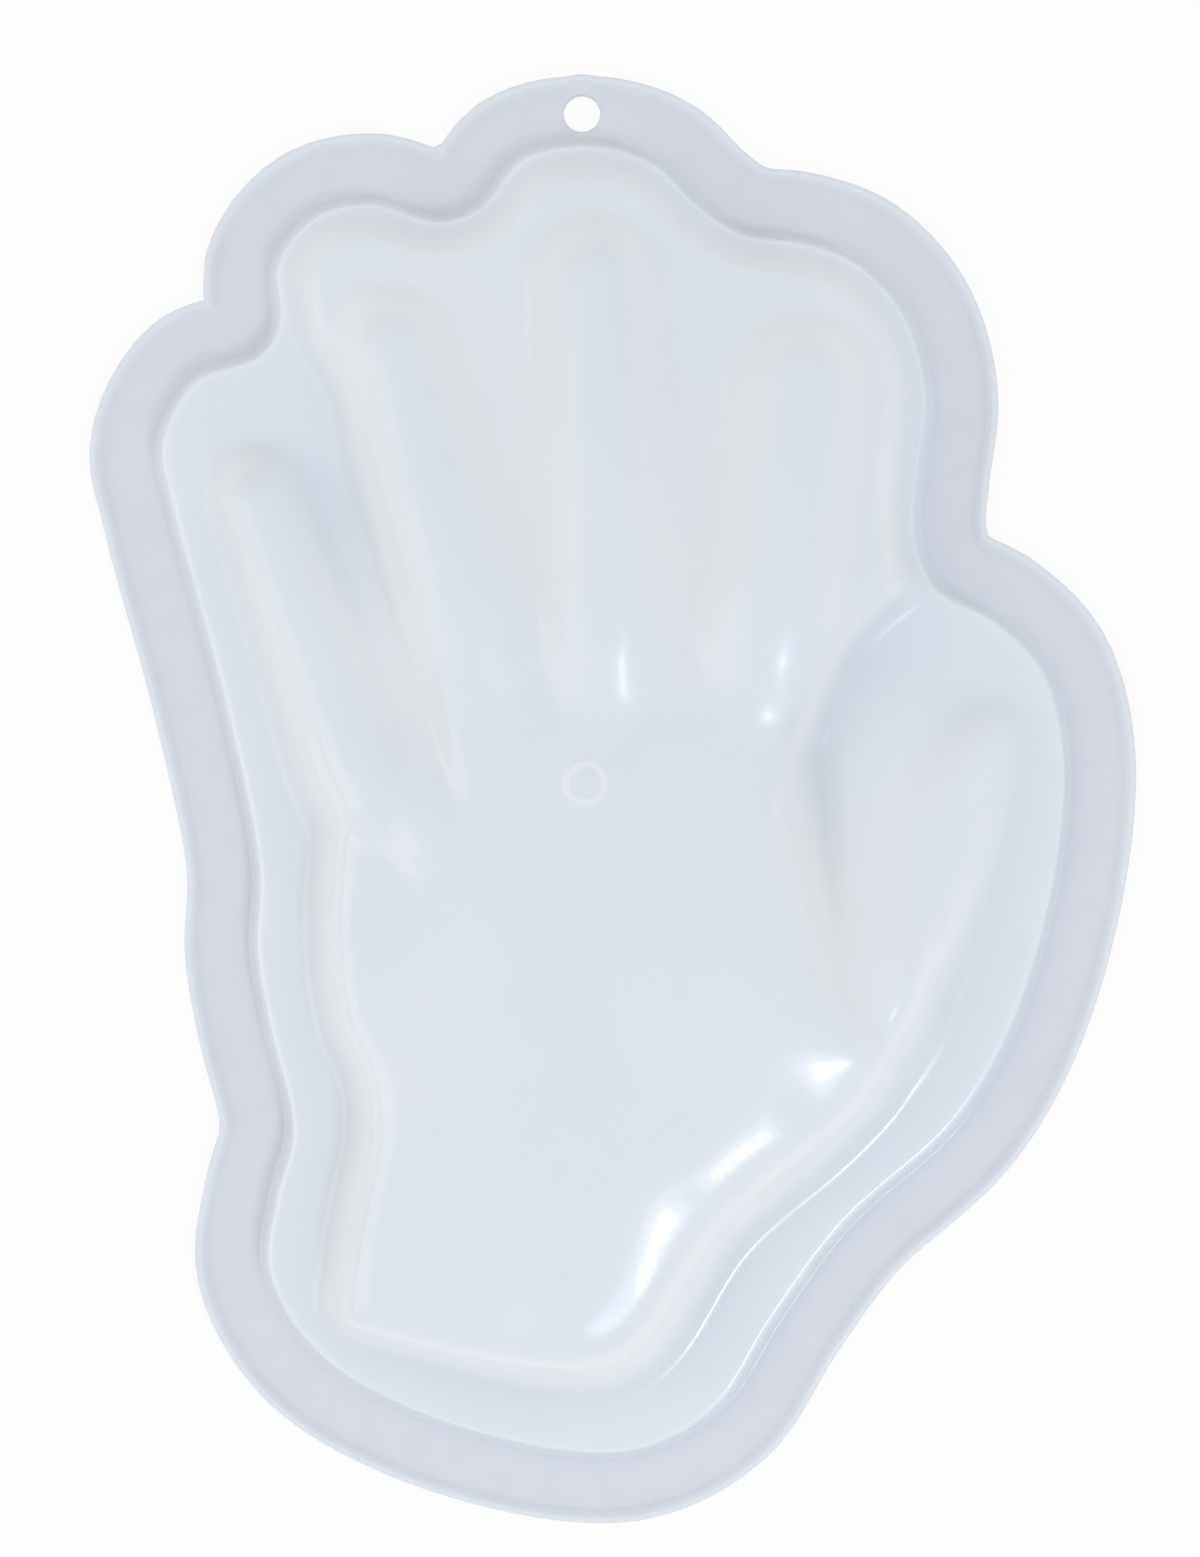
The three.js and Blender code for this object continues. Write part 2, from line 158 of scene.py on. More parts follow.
# Web and fingers
# The ring, middle and index fingers are hollow ridges on a raised web. The web drops to the tray's ledge
# along the wall, above the thumb and beside the little finger, which stands on the ledge itself.
WEB_AREA = [
    (-64, 92), (-57, 79), (-51, 71.5), (-47.5, 65), (-45.5, 56), (-41.5, 43), (-36.5, 26), (-32, 10),
    (-28, -8), (-20, -45), (20, -45), (30, -8), (35.5, 11), (40, 21.5), (47, 30), (61, 40), (72, 80),
    (40, 125), (-20, 130), (-66, 112),
]
WEB_TIP_HEIGHT = 13.5
WEB_ROOT_HEIGHT = 20.5
WEB_TIP_Y = 85
WEB_ROOT_Y = 10
WEB_END_Y = -25
WEB_FRONT_WIDTH = 5.2
WEB_EDGE_ROUNDING = 0.2
WEB_SIDE_WIDTH = 6
WEB_FINGERS = [
    dict(tip=(-36.2, 74.5), root=(-24, 32), widths=(11, 14), heights=(21, 26)),
    dict(tip=(-2.8, 85.5), root=(-1, 32), widths=(12.2, 15.2), heights=(22, 27)),
    dict(tip=(31.5, 68), root=(26.5, 32), widths=(13.4, 15.2), heights=(21.5, 26.5)),
]
LITTLE_FINGER = dict(tip=(-58.9, 50), root=(-42, 6), widths=(9.8, 14), heights=(14.5, 20.5))
LITTLE_GAP = dict(tip=(-45, 52), root=(-31, -2), widths=(11, 13), heights=(LEDGE_HEIGHT, 18.5))
ROOT_STRETCH = 1.8
SECTION_SQUARENESS = 3
SECTION_FOOT = 3

web_area = outline_through(WEB_AREA, OUTLINE_POINTS)


def smoothstep(value, low, high):
    """Climbs from 0 to 1 between two values, level at both ends."""
    share = np.clip((value - low) / (high - low), 0, 1)
    return share * share * (3 - 2 * share)


def lerp(start, end, share):
    """A share of the way from start to end."""
    return start + (end - start) * share


def digit_at(digit, x, y):
    """How tall a digit is along its ridge beside each point, and its cross-section there, from 1 to 0."""
    run = np.subtract(digit["root"], digit["tip"])
    length = np.hypot(*run)
    way_x, way_y = run / length
    from_tip_x, from_tip_y = x - digit["tip"][0], y - digit["tip"][1]
    along = from_tip_x * way_x + from_tip_y * way_y
    aside = from_tip_x * way_y - from_tip_y * way_x
    past_end = np.maximum(-along, (along - length) / ROOT_STRETCH).clip(0)
    share = np.clip(along / length, 0, 1)
    across = np.minimum(np.hypot(aside, past_end) / lerp(*digit["widths"], share), 1)
    return lerp(*digit["heights"], share), (1 - across**SECTION_SQUARENESS) ** SECTION_FOOT


def fingers_height(x, y):
    """The web, with the ridges of its three fingers."""
    web = lerp(WEB_ROOT_HEIGHT, WEB_TIP_HEIGHT, smoothstep(y, WEB_ROOT_Y, WEB_TIP_Y))
    off_side = smoothstep(depth_inside(web_area, x, y), 0, WEB_SIDE_WIDTH)
    height = lerp(LEDGE_HEIGHT, web, off_side * smoothstep(y, WEB_END_Y, WEB_ROOT_Y))
    for finger in WEB_FINGERS:
        top, section = digit_at(finger, x, y)
        height = np.maximum(height, lerp(height, top, section))
    return height


def ledge_digit_height(digit, x, y):
    """A digit that stands on the ledge, or the floor of the gap beside one, which climbs to the palm."""
    top, section = digit_at(digit, x, y)
    return lerp(LEDGE_HEIGHT, top, section)


# Thumb and palm
# The back of the hand: a domed palm with a flank round its foot, which falls away at the knuckles, and a
# thumb like a leaf that runs into it. It is one wall with the fingers, shaped by the same tool.
THUMB_FOOT = [
    (65, 18), (70.5, 11.5), (68.5, -3.5), (65, -15.8), (60, -29.7), (53, -43), (44, -50), (36, -42),
    (39, -27), (42, -15), (42.5, -6.5), (45, 2), (50.5, 10), (58, 16.5),
]
THUMB_TIP_SHARE = 0.6
THUMB_TIP_Y = 10
THUMB_ROOT_Y = -40
THUMB_FLANK = dict(slope=1.4, band=5.5, shoulder=5.5, width=12)
THUMB_GAP = dict(tip=(47, 24), root=(44, -28), widths=(14, 15), heights=(LEDGE_HEIGHT, 18.5))
PALM_FOOT = [
    (-48, 8), (-51, -14), (-51, -28), (-49, -40), (-45.3, -48.6), (-44.8, -58), (-47, -66), (-48.4, -75.6),
    (-49.5, -87), (-46, -91.8), (-36.5, -95), (-23, -98.8), (-11.7, -101), (0, -101), (7.4, -98),
    (12.8, -92.3), (23.3, -75.6), (40, -61.3), (48.8, -51.6), (52, -43), (50, -37), (44.3, -29.7),
    (39.7, -15.8), (36, 0), (34.6, 10.4), (36, 40), (0, 48), (-30, 40), (-39, 18),
]
PALM_LITTLE_SIDE = dict(x=-45, slope=1.8, band=7.5, shoulder=2)
PALM_THUMB_SIDE = dict(x=5, slope=1.6, band=7, shoulder=7)
PALM_WRIST_SHOULDER = dict(x=-40, y=-100, width=13)
PALM_THUMB_SHOULDER = dict(x=15, y=-70, width=26)
PALM_DOME_SHARE = 0.36
PALM_DOME_CENTRE = (-8, -40)
PALM_DOME_HALF_SIZE = (58, 80)
FOOT_EASE = 2
RIM_BLEND = 3.5
KNUCKLE_CENTRE = (10, 13)
KNUCKLE_ARC_RADIUS = 125
KNUCKLE_REACH = 16
KNUCKLE_FALL = 0.5
DIGIT_BLEND = 5
PALM_BLEND = 10
THUMB_BLEND = 14
SINKS = [
    dict(place=(-2.5, -88), tilt=(-0.26, 0), reach=6),
    dict(place=(14.5, -66.5), tilt=(0.09, 0.11), reach=5.5),
    dict(place=(30, -53.5), tilt=(-0.1, -0.09), reach=4.5),
    dict(place=(38.4, -43.4), tilt=(0.15, 0.18), reach=5.5),
    dict(place=(-18.3, 20), tilt=(0.05, -0.15), reach=6),
]
SINK_RISE = 4
NEARLY_ZERO = 1e-6

thumb_foot = outline_through(THUMB_FOOT, OUTLINE_POINTS)
palm_foot = outline_through(PALM_FOOT, OUTLINE_POINTS)


def mound_rise(outline, x, y, slope, band, shoulder, width):
    """Rise of a mound inside its foot: a steep band, then a rounded shoulder that levels out."""
    depth = np.maximum(depth_inside(outline, x, y), 0)
    eased = np.where(depth < FOOT_EASE, depth**2 / (2 * FOOT_EASE), depth - FOOT_EASE / 2)
    steep = slope * eased
    rounded_off = band + shoulder * (1 - (1 - np.minimum(depth / width, 1)) ** 3)
    closeness = np.maximum(RIM_BLEND - abs(steep - rounded_off), 0) / RIM_BLEND
    return np.minimum(steep, rounded_off) - closeness**2 * RIM_BLEND / 4


def thumb_height(x, y):
    """The thumb, which gets lower towards its tip."""
    share = lerp(1, THUMB_TIP_SHARE, smoothstep(y, THUMB_ROOT_Y, THUMB_TIP_Y))
    return LEDGE_HEIGHT + share * mound_rise(thumb_foot, x, y, **THUMB_FLANK)


def palm_height(x, y):
    """The palm and wrist: a flank that softens towards the thumb, a dome, and a fall at the knuckles."""
    little, thumb, wrist, ball = PALM_LITTLE_SIDE, PALM_THUMB_SIDE, PALM_WRIST_SHOULDER, PALM_THUMB_SHOULDER
    towards_thumb = smoothstep(x, little["x"], thumb["x"])
    slope, band, shoulder = (
        lerp(little[key], thumb[key], towards_thumb) for key in ("slope", "band", "shoulder")
    )
    off_wrist = smoothstep(x, wrist["x"], ball["x"]) * smoothstep(y, wrist["y"], ball["y"])
    width = lerp(wrist["width"], ball["width"], off_wrist)
    rise = mound_rise(palm_foot, x, y, slope, band, shoulder, width)
    across, along = ((v - c) / h for v, c, h in zip((x, y), PALM_DOME_CENTRE, PALM_DOME_HALF_SIZE))
    dome = np.maximum(1 - across**2 - along**2, 0)
    rise = rise * (1 + PALM_DOME_SHARE * dome)
    knuckle_y = KNUCKLE_CENTRE[1] - (x - KNUCKLE_CENTRE[0]) ** 2 / (2 * KNUCKLE_ARC_RADIUS)
    fall = KNUCKLE_FALL * smoothstep(y - knuckle_y, -KNUCKLE_REACH, KNUCKLE_REACH)
    return LEDGE_HEIGHT + rise * (1 - fall)


def blend_up(first, second, blend):
    """The larger of two heights, with the crease between them filled, but not where one is the ledge."""
    reach = np.clip(np.minimum(first, second) - LEDGE_HEIGHT, NEARLY_ZERO, blend)
    closeness = np.maximum(reach - abs(first - second), 0) / reach
    return np.maximum(first, second) + closeness**2 * reach / 4


def sinks(x, y):
    """Slight tilts of the wall where it drew in unevenly as it cooled, which break up its highlights."""
    change = np.zeros(x.shape)
    for sink in SINKS:
        across, along = x - sink["place"][0], y - sink["place"][1]
        fade = np.exp(-(across**2 + along**2) / (2 * sink["reach"] ** 2))
        change += (sink["tilt"][0] * across + sink["tilt"][1] * along) * fade
    return change


def hand_height(x, y):
    """Outside of the hand above points of the tray, down on the ledge along the tray wall."""
    height = fingers_height(x, y)
    for digit in (LITTLE_GAP, LITTLE_FINGER, THUMB_GAP):
        height = blend_up(height, ledge_digit_height(digit, x, y), DIGIT_BLEND)
    height = blend_up(height, palm_height(x, y), PALM_BLEND)
    height = blend_up(height, thumb_height(x, y), THUMB_BLEND)
    height = height + sinks(x, y) * np.clip((height - LEDGE_HEIGHT) / SINK_RISE, 0, 1)
    from_wall = np.maximum(depth_inside(tray_foot, x, y) - WALL_DRAFT - LEDGE_FLAT, 0) / WEB_FRONT_WIDTH
    rounding = np.clip((1 + WEB_EDGE_ROUNDING - from_wall) / (2 * WEB_EDGE_ROUNDING), 0, 1)
    front = np.where(from_wall < 1 - WEB_EDGE_ROUNDING, from_wall, 1 - WEB_EDGE_ROUNDING * rounding**2)
    return LEDGE_HEIGHT + (height - LEDGE_HEIGHT) * front


# Shell
# The whole moulding as one closed wall: the outside from the gate mark on the palm out to the lip, then
# the underside and the hollow. The gate mark is the ring that the nozzle leaves where the plastic enters.
GATE_PROFILE = [
    (0.3, 0.2), (1.1, 0.18), (1.5, 0.1), (1.8, 0), (2.4, 0), (2.65, 0.12), (2.85, 0.18), (3.4, 0.18),
    (3.6, 0.12), (3.85, 0), (4.4, 0),
]
EDGE_RADIUS = 0.35
LIP_RADIUS = 0.6
LIP_SLOPE = 1.4
LIP_FOOT_RADIUS = 1.2
FOOT_RADIUS = 0.8
LEDGE_RADIUS = 0.9
WALL_RINGS_REACH = 18
WALL_RINGS = 32
PALM_RINGS = 54
LEDGE_CORNER_RINGS = 4
HOLLOW_STEP = 2
GATE_HOLLOW_STEP = 5
SLOPE_STEP = 0.8
SOFTENINGS = 8
SOFTENING = 0.5

lip_top = FLANGE_THICKNESS + LIP_HEIGHT
edge_profile = rounded([
    (WALL_DRAFT + 2 * LEDGE_RADIUS, LEDGE_HEIGHT, 0),
    (WALL_DRAFT, LEDGE_HEIGHT, LEDGE_RADIUS),
    (0, FLANGE_THICKNESS, FOOT_RADIUS),
    (LIP_WIDTH - FLANGE_WIDTH, FLANGE_THICKNESS, LIP_FOOT_RADIUS),
    (LIP_WIDTH - LIP_SLOPE - FLANGE_WIDTH, lip_top, LIP_RADIUS),
    (-FLANGE_WIDTH, lip_top, LIP_RADIUS),
    (-FLANGE_WIDTH, 0, EDGE_RADIUS),
    (WALL, 0, EDGE_RADIUS),
    (WALL_DRAFT + WALL, LEDGE_HEIGHT - WALL, LEDGE_RADIUS),
    (WALL_DRAFT + WALL + LEDGE_RADIUS, LEDGE_HEIGHT - WALL, 0),
])[1:]


def places(rings, heights):
    """Rings and their heights, in millimetres, as points of the part's frame in metres."""
    return np.concatenate([rings + centring, heights[..., None]], axis=-1) * MM


def hollow(rings):
    """The inside of the wall under rings of the hand, each point moved in square to the outside."""
    x, y = np.moveaxis(rings, -1, 0)
    slope_x = (hand_height(x + SLOPE_STEP, y) - hand_height(x - SLOPE_STEP, y)) / (2 * SLOPE_STEP)
    slope_y = (hand_height(x, y + SLOPE_STEP) - hand_height(x, y - SLOPE_STEP)) / (2 * SLOPE_STEP)
    drop = WALL / np.sqrt(1 + slope_x**2 + slope_y**2)
    inner = rings + np.stack([slope_x * drop, slope_y * drop], axis=-1)
    return places(inner, hand_height(x, y) - drop)


def grow(shell, spoke, ring, where):
    """Extrudes a ring of vertices into the next one, and puts each new vertex in its place on its spoke."""
    edges = [shell.edges.get(pair) for pair in zip(ring, ring[1:] + ring[:1])]
    grown = bmesh.ops.extrude_edge_only(shell, edges=edges)["geom"]
    new = [part for part in grown if isinstance(part, bmesh.types.BMVert)]
    new.sort(key=lambda vert: vert[spoke])
    for vert, point in zip(new, where):
        vert.co = point
    return new


insets = [inset for inset, height in edge_profile]
edge_rings = tray_rings(insets)
flange_edge = edge_rings[np.argmin(insets)]
centring = -(flange_edge.min(axis=0) + flange_edge.max(axis=0)) / 2
gate_radii, gate_relief = np.array(GATE_PROFILE).T
gate_rings = on_spokes(np.repeat(gate_radii[:, None], SPOKES, axis=1))
wall_rings = tray_rings(np.linspace(WALL_RINGS_REACH, edge_profile[0][0], WALL_RINGS + 1)[:-1])
reach = np.linalg.norm(wall_rings[0] - GATE, axis=1)
shares = np.linspace(0, 1, PALM_RINGS + 1)[1:-1, None]
hand_rings = np.concatenate([on_spokes(lerp(gate_radii[-1], reach, shares)), wall_rings])
edge_heights = np.repeat([[height] for inset, height in edge_profile], SPOKES, axis=1)

skin = np.concatenate([
    places(gate_rings, hand_height(*np.moveaxis(gate_rings, -1, 0)) + gate_relief[:, None]),
    places(hand_rings, hand_height(*np.moveaxis(hand_rings, -1, 0))),
    places(edge_rings, edge_heights),
    hollow(hand_rings[-LEDGE_CORNER_RINGS::-HOLLOW_STEP]),
    hollow(gate_rings[::-GATE_HOLLOW_STEP]),
])
shell = bmesh.new()
spoke = shell.verts.layers.int.new("spoke")
first = bmesh.ops.create_circle(shell, segments=SPOKES, radius=MM)["verts"]
for number, (vert, point) in enumerate(zip(first, skin[0])):
    vert[spoke] = number
    vert.co = point
ring = first
hand_verts = []
for number, where in enumerate(skin[1:], start=1):
    ring = grow(shell, spoke, ring, where)
    if len(gate_rings) < number < len(gate_rings) + len(hand_rings):
        hand_verts += ring
for _ in range(SOFTENINGS):
    bmesh.ops.smooth_vert(
        shell, verts=hand_verts, factor=SOFTENING, use_axis_x=True, use_axis_y=True, use_axis_z=True
    )
for end in (first, ring):
    cap = bmesh.ops.contextual_create(shell, geom=end)["faces"]
    bmesh.ops.poke(shell, faces=cap)
bmesh.ops.recalc_face_normals(shell, faces=shell.faces)
mould_mesh = bpy.data.meshes.new("hand_mould_skin")
shell.to_mesh(mould_mesh)
shell.free()
mould = bpy.data.objects.new("hand_mould_skin", mould_mesh)
bpy.context.scene.collection.objects.link(mould)

# Hang hole
# A round hole through the flange above the middle finger, cored in the tool, with a small chamfer on its
# rims. It is cut here by a spun profile that flares at both faces of the flange.
RIM_CHAMFER = 0.3
HOLE_STEPS = 64
MERGE_DISTANCE = 0.01
SHARP_ANGLE = 50

hole_radius = HANG_HOLE_DIAMETER / 2
mouth_radius = hole_radius + RIM_CHAMFER
cutter_profile = [
    (0, lip_top), (mouth_radius, lip_top), (mouth_radius, FLANGE_THICKNESS),
    (hole_radius, FLANGE_THICKNESS - RIM_CHAMFER), (hole_radius, RIM_CHAMFER),
    (mouth_radius, 0), (mouth_radius, -lip_top), (0, -lip_top),
]
cutter = bmesh.new()
cutter_verts = [cutter.verts.new((radius * MM, 0, height * MM)) for radius, height in cutter_profile]
cutter_edges = [cutter.edges.new(pair) for pair in zip(cutter_verts, cutter_verts[1:])]
bmesh.ops.spin(
    cutter, geom=cutter_verts + cutter_edges, cent=(0, 0, 0), axis=(0, 0, 1),
    angle=2 * math.pi, steps=HOLE_STEPS, use_merge=True,
)
bmesh.ops.remove_doubles(cutter, verts=cutter.verts, dist=MERGE_DISTANCE * MM)
bmesh.ops.recalc_face_normals(cutter, faces=cutter.faces)
bmesh.ops.translate(cutter, verts=cutter.verts, vec=(*((np.array(hang_hole) + centring) * MM), 0))
cutter_mesh = bpy.data.meshes.new("hang_hole_cutter")
cutter.to_mesh(cutter_mesh)
cutter.free()
cutter_object = bpy.data.objects.new("hang_hole_cutter", cutter_mesh)
bpy.context.scene.collection.objects.link(cutter_object)
cut = mould.modifiers.new("hang_hole", "BOOLEAN")
cut.object = cutter_object
cut.operation = "DIFFERENCE"
cut.solver = "MANIFOLD"
drilled = bpy.data.meshes.new_from_object(mould.evaluated_get(bpy.context.evaluated_depsgraph_get()))
mould.modifiers.clear()
mould.data = drilled
bpy.data.objects.remove(cutter_object)
bpy.data.meshes.remove(cutter_mesh)
bpy.data.meshes.remove(mould_mesh)
drilled.shade_smooth()
drilled.set_sharp_from_angle(angle=math.radians(SHARP_ANGLE))
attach(mould, "root")
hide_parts("hand_mould")

# Milky plastic
# Natural polypropylene: white with a cool cast, cloudy all through, glossy where the tool was polished,
# duller along the fingers and satin on the grained flange. Light and shade are painted into its colour: the
# flanks that face away from the key lamp, the thin edges, the gate ring and the hollows between the fingers
# are painted lighter and warmer, as if light came through the wall, the flange is painted darker as shade
# and its lip is painted lighter.
OPEN_COLOUR = (0.767, 0.813, 0.876, 1)
# Painted light: the flanks that face away from the key lamp are painted towards this lighter, warmer
# colour.
FLANK_PAINTED_LIGHT_COLOUR = (0.835, 0.86, 0.88, 1)
# Painted light and random clouds: hollows, thin edges and the gate ring are painted towards this lighter,
# warmer colour.
CLOUD_AND_PAINTED_LIGHT_COLOUR = (0.95, 0.965, 0.955, 1)
# Painted shade: the flange is painted darker than the hand, in two tones that mottle at random.
FLANGE_SHADE_COLOUR = (0.7, 0.725, 0.782, 1)
FLANGE_PALE_SHADE_COLOUR = (0.75, 0.775, 0.832, 1)
# Strengths of the painted light in the hollows, along the tray and web edges, round the gate ring and on
# the lip.
HOLLOW_PAINTED_LIGHT = 1.7
FRONT_SHARE = 0.2
TRAY_EDGE_PAINTED_LIGHT = 0.3
WEB_EDGE_PAINTED_LIGHT = 0.15
GATE_RING_PAINTED_LIGHT = 0.3
GATE_RING_RADIUS = 3.1
LIP_PAINTED_LIGHT = 0.6
EDGE_LIGHT_WIDTH = 0.8
HOLLOW_RISE = 9
# Level direction pointing away from the key lamp; flanks that face this way are painted lighter.
KEY_AWAY_WAY = (-0.68, 0.73)
FINGER_GLOSS = 0.12
GLOSS_FADE_Y = (5, 14)
FLANGE_FADE = 0.8
SCAN_STEP = 1
SCAN_REACH = 24
SCAN_WAYS = 16
CLOUDS = dict(size=30, detail=3)
CLOUD_RANGE = (0.3, 0.7)
CLOUD_DEPTH = 0.1
MOTTLE = dict(size=5, detail=6)
GRAIN = dict(size=0.5, detail=2)
GRAIN_DEPTH = 0.02
HAND_ROUGHNESS = 0.3
FLANGE_ROUGHNESS = 0.5
SKIN_GLOSS = 1
SKIN_ROUGHNESS = 0.1
MILKINESS = 0.25
MILK_SPREAD = (1, 1, 1)
MILK_DEPTH = 2.5


def hidden_sky(x, y):
    """The share of the sky that the forms round each point hide, from horizons on a grid of heights."""
    margin = 2 * SCAN_STEP
    span_x, span_y = (np.arange(v.min() - margin, v.max() + margin, SCAN_STEP) for v in (x, y))
    grid_x, grid_y = np.meshgrid(span_x, span_y)
    depth = depth_inside(tray_foot, grid_x, grid_y)
    wall = lerp(FLANGE_THICKNESS, LEDGE_HEIGHT, np.clip(depth / WALL_DRAFT, 0, 1))
    height = np.where(depth > WALL_DRAFT, hand_height(grid_x, grid_y), wall)
    hidden = np.zeros_like(height)
    for number in range(SCAN_WAYS):
        turn = 2 * math.pi * number / SCAN_WAYS
        steepest = np.zeros_like(height)
        for far in np.arange(SCAN_STEP, SCAN_REACH, SCAN_STEP):
            shift = [round(far * part / SCAN_STEP) for part in (math.sin(turn), math.cos(turn))]
            steepest = np.maximum(steepest, (np.roll(height, shift, axis=(0, 1)) - height) / far)
        hidden += steepest**2 / (1 + steepest**2) / SCAN_WAYS
    column, row = (x - span_x[0]) / SCAN_STEP, (y - span_y[0]) / SCAN_STEP
    left, below = column.astype(int), row.astype(int)
    lower = lerp(hidden[below, left], hidden[below, left + 1], column - left)
    upper = lerp(hidden[below + 1, left], hidden[below + 1, left + 1], column - left)
    return lerp(lower, upper, row - below)


def edge_fade(distance):
    """How much of the light painted along an edge is left at a distance from it, from 1 to 0."""
    return np.exp(-((distance / EDGE_LIGHT_WIDTH) ** 2))


def store(name, values):
    """Keeps one value per vertex, from 0 to 1, for the material to read."""
    drilled.attributes.new(name, "FLOAT", "POINT").data.foreach_set("value", np.clip(values, 0, 1))


flat = np.empty(3 * len(drilled.vertices))
drilled.vertices.foreach_get("co", flat)
skin_x, skin_y = flat.reshape(-1, 3)[:, :2].T / MM - centring[:, None]
wall_depth = depth_inside(tray_foot, skin_x, skin_y)
facing = np.array([corner.vector for corner in drilled.vertex_normals])
steepness = 1 - abs(facing[:, 2])
level_part = np.maximum(np.hypot(*facing[:, :2].T), NEARLY_ZERO)
# Share of each surface that faces away from the key lamp, for painted light.
away_from_key = (1 + facing[:, :2] @ KEY_AWAY_WAY / level_part) / 2
off_ledge = smoothstep(hand_height(skin_x, skin_y), LEDGE_HEIGHT, LEDGE_HEIGHT + HOLLOW_RISE)
web_edge = WALL_DRAFT + LEDGE_FLAT + WEB_FRONT_WIDTH
from_gate = np.hypot(skin_x - GATE[0], skin_y - GATE[1])
# Painted light: lighter lines along the tray wall's top edge on the side away from the key, along the web's
# edge and round the gate ring.
edge_painted_light = TRAY_EDGE_PAINTED_LIGHT * edge_fade(wall_depth - WALL_DRAFT) * away_from_key
edge_painted_light += WEB_EDGE_PAINTED_LIGHT * edge_fade(wall_depth - web_edge) * off_ledge
edge_painted_light += GATE_RING_PAINTED_LIGHT * edge_fade(from_gate - GATE_RING_RADIUS)
# Painted light: hollows that the forms hide from the sky are painted lighter, against the shade they get.
hidden = hidden_sky(skin_x, skin_y)
off_front = lerp(FRONT_SHARE, 1, smoothstep(wall_depth, WALL_DRAFT + LEDGE_FLAT, web_edge))
# Painted light on the flanks that face away from the key lamp, less of it on the web's front.
store("flank_painted_light", off_front * steepness * away_from_key)
store("hollow_and_edge_painted_light", HOLLOW_PAINTED_LIGHT * hidden * off_ledge + edge_painted_light)
# Painted light: the lip is taken partly off the flange, so it is painted partly in the hand's lighter
# colour.
on_lip = smoothstep(FLANGE_WIDTH + wall_depth, LIP_WIDTH, LIP_WIDTH - LIP_SLOPE)
on_flange = smoothstep(-wall_depth, 0, FLANGE_FADE)
store("on_flange", on_flange * (1 - LIP_PAINTED_LIGHT * on_lip))
on_fingers = smoothstep(skin_y, *GLOSS_FADE_Y)
store("gloss", lerp(SKIN_GLOSS, FINGER_GLOSS, on_fingers) * (1 - on_flange))


def fill_inputs(tree, node, inputs):
    """Sets a node's inputs, each to a value or to another node's output."""
    for key, value in inputs.items():
        if isinstance(value, bpy.types.NodeSocket):
            tree.links.new(value, node.inputs[key])
        else:
            node.inputs[key].default_value = value


def add_node(tree, kind, inputs, **settings):
    """A new node in a material, with its settings and inputs."""
    node = tree.nodes.new(kind)
    for key, value in settings.items():
        setattr(node, key, value)
    fill_inputs(tree, node, inputs)
    return node


plastic = bpy.data.materials.new("milky_plastic")
plastic.use_nodes = True
plastic_tree = plastic.node_tree
places_on = add_node(plastic_tree, "ShaderNodeTexCoord", {}).outputs["Object"]


def stored(name):
    """What store kept under a name."""
    return add_node(plastic_tree, "ShaderNodeAttribute", {}, attribute_name=name).outputs["Fac"]


def noise(size, detail):
    """Noise through the plastic, in spots of about a size in millimetres."""
    inputs = {"Vector": places_on, "Scale": 1 / (size * MM), "Detail": detail}
    return add_node(plastic_tree, "ShaderNodeTexNoise", inputs).outputs["Fac"]


def mixed(factor, start, end):
    """A colour between two others."""
    inputs = {"Factor": factor, "A": start, "B": end}
    return add_node(plastic_tree, "ShaderNodeMix", inputs, data_type="RGBA").outputs["Result"]


flange_mask = stored("on_flange")
clouds = add_node(plastic_tree, "ShaderNodeMapRange", {
    "Value": noise(**CLOUDS),
    "From Min": CLOUD_RANGE[0],
    "From Max": CLOUD_RANGE[1],
    "To Min": -CLOUD_DEPTH,
    "To Max": CLOUD_DEPTH,
}).outputs["Result"]
cloud_and_painted_light_share = add_node(
    plastic_tree, "ShaderNodeMath", {0: stored("hollow_and_edge_painted_light"), 1: clouds}, operation="ADD", use_clamp=True
).outputs["Value"]
# The hand's own colour with painted light on its far flanks.
flank_painted_colour = mixed(stored("flank_painted_light"), OPEN_COLOUR, FLANK_PAINTED_LIGHT_COLOUR)
# Then painted light in the hollows and along thin edges, plus random clouds.
hand_colour = mixed(cloud_and_painted_light_share, flank_painted_colour, CLOUD_AND_PAINTED_LIGHT_COLOUR)
# Painted shade: the flange in darker, randomly mottled tones.
flange_shade_colour = mixed(noise(**MOTTLE), FLANGE_SHADE_COLOUR, FLANGE_PALE_SHADE_COLOUR)
roughness = add_node(
    plastic_tree, "ShaderNodeMapRange",
    {"Value": flange_mask, "To Min": HAND_ROUGHNESS, "To Max": FLANGE_ROUGHNESS},
).outputs["Result"]
flange_grain = add_node(
    plastic_tree, "ShaderNodeMath", {0: noise(**GRAIN), 1: flange_mask}, operation="MULTIPLY"
).outputs["Value"]
relief = add_node(
    plastic_tree, "ShaderNodeBump", {"Height": flange_grain, "Distance": GRAIN_DEPTH * MM}
).outputs["Normal"]
fill_inputs(plastic_tree, plastic_tree.nodes["Principled BSDF"], {
    "Base Color": mixed(flange_mask, hand_colour, flange_shade_colour),
    "Roughness": roughness,
    "Normal": relief,
    "Coat Weight": stored("gloss"),
    "Coat Roughness": SKIN_ROUGHNESS,
    "Subsurface Weight": MILKINESS,
    "Subsurface Radius": MILK_SPREAD,
    "Subsurface Scale": MILK_DEPTH * MM,
})
drilled.materials.clear()
drilled.materials.append(plastic)

